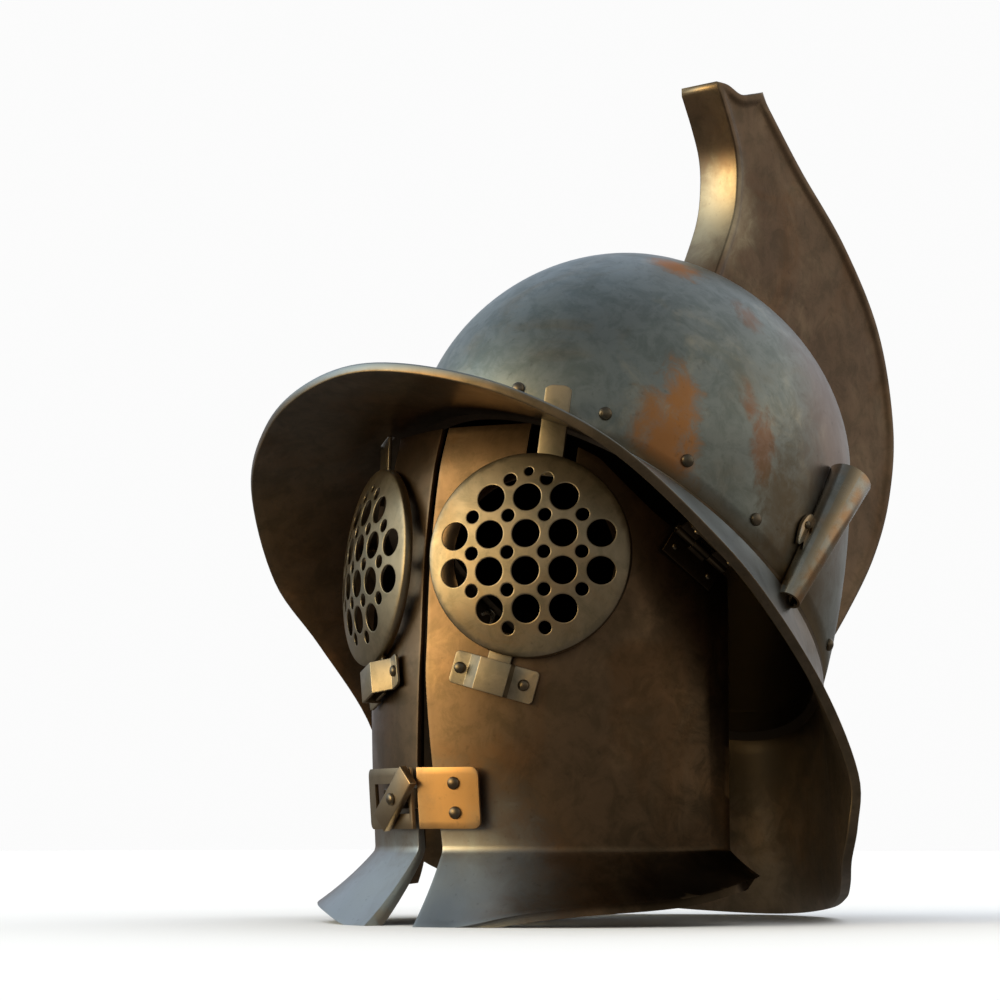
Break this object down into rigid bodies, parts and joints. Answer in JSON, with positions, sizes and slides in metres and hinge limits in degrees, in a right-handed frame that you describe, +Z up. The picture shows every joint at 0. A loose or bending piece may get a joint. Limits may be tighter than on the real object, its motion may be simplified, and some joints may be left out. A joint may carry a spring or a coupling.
{
  "type": "gladiator helmet",
  "caption": "Bronze gladiator helmet with a broad flaring brim, tall crest, hinged two-part visor with pierced eye discs and a turn-button clasp, and plume tubes.",
  "frame": {"origin": "centre of the helmet's outline on the surface it rests on", "axes": "+Z up, the face looks along -Y, +X towards the wearer's left"},
  "size_m": [0.3214, 0.446, 0.4685],
  "materials": {
    "bronze_bowl": "worn satin bronze",
    "bronze_brim": "worn satin bronze",
    "bronze_crest": "worn satin bronze",
    "bronze_visor": "worn satin bronze",
    "bronze_disc": "worn satin bronze",
    "bronze_fittings": "worn satin bronze",
    "bronze_rivets": "worn satin bronze",
    "bronze_tubes": "worn satin bronze"
  },
  "bodies": {
    "skull": {"bowl": "bronze_bowl", "brim": "bronze_brim", "crest": "bronze_crest", "hinge_brim_leaf_left": "bronze_fittings", "hinge_brim_leaf_right": "bronze_fittings", "hinge_brim_rivet_back_left": "bronze_rivets", "hinge_brim_rivet_back_right": "bronze_rivets", "hinge_brim_rivet_front_left": "bronze_rivets", "hinge_brim_rivet_front_right": "bronze_rivets", "hinge_pin_left": "bronze_rivets", "hinge_pin_right": "bronze_rivets", "plume_pin_left": "bronze_rivets", "plume_pin_right": "bronze_rivets", "plume_tube_left": "bronze_tubes", "plume_tube_right": "bronze_tubes", "seam_rivet_1_left": "bronze_rivets", "seam_rivet_1_right": "bronze_rivets", "seam_rivet_2_left": "bronze_rivets", "seam_rivet_2_right": "bronze_rivets", "seam_rivet_3_left": "bronze_rivets", "seam_rivet_3_right": "bronze_rivets", "seam_rivet_4_left": "bronze_rivets", "seam_rivet_4_right": "bronze_rivets", "seam_rivet_5_left": "bronze_rivets", "seam_rivet_5_right": "bronze_rivets"},
    "cheek_left": {"visor_left": "bronze_visor", "keeper_left": "bronze_fittings", "keeper_rivet_inner_left": "bronze_rivets", "keeper_rivet_outer_left": "bronze_rivets", "hinge_cheek_leaf_left": "bronze_fittings", "hinge_cheek_rivet_front_left": "bronze_rivets", "hinge_cheek_rivet_back_left": "bronze_rivets", "clasp_plate": "bronze_fittings", "clasp_rivet_upper": "bronze_rivets", "clasp_rivet_lower": "bronze_rivets"},
    "cheek_right": {"visor_right": "bronze_visor", "keeper_right": "bronze_fittings", "keeper_rivet_inner_right": "bronze_rivets", "keeper_rivet_outer_right": "bronze_rivets", "hinge_cheek_leaf_right": "bronze_fittings", "hinge_cheek_rivet_front_right": "bronze_rivets", "hinge_cheek_rivet_back_right": "bronze_rivets", "clasp_slotted_arm": "bronze_fittings", "clasp_base": "bronze_fittings", "clasp_base_rivet": "bronze_rivets"},
    "disc_left": {"eye_disc_left": "bronze_disc"},
    "disc_right": {"eye_disc_right": "bronze_disc"},
    "strip_left": {"brow_strip_left": "bronze_fittings"},
    "strip_right": {"brow_strip_right": "bronze_fittings"},
    "button": {"turn_button": "bronze_fittings"}
  },
  "joints": [
    {"name": "visor_left", "type": "hinge", "parent": "skull", "child": "cheek_left", "pos_m": [0.10544, -0.08522, 0.18587], "axis": [-0.2287, -0.7915, 0.5667], "range_deg": [0, 55]},
    {"name": "visor_right", "type": "hinge", "parent": "skull", "child": "cheek_right", "pos_m": [-0.10544, -0.08522, 0.18587], "axis": [-0.2287, 0.7915, -0.5667], "range_deg": [0, 55]},
    {"name": "eye_disc_left", "type": "slide", "parent": "cheek_left", "child": "disc_left", "axis": [-0.0319, 0.0601, 0.9977], "range_m": [0, 0.013]},
    {"name": "eye_disc_right", "type": "slide", "parent": "cheek_right", "child": "disc_right", "axis": [0.0319, 0.0601, 0.9977], "range_m": [0, 0.013]},
    {"name": "brow_strip_left", "type": "slide", "parent": "skull", "child": "strip_left", "axis": [0.0693, 0.1134, 0.9911], "range_m": [0, 0.025]},
    {"name": "brow_strip_right", "type": "slide", "parent": "skull", "child": "strip_right", "axis": [-0.0693, 0.1134, 0.9911], "range_m": [0, 0.025]},
    {"name": "turn_button", "type": "hinge", "parent": "cheek_right", "child": "button", "pos_m": [-0.01357, -0.17728, 0.0623], "axis": [-0.2752, -0.9574, -0.0872], "continuous": true}
  ]
}
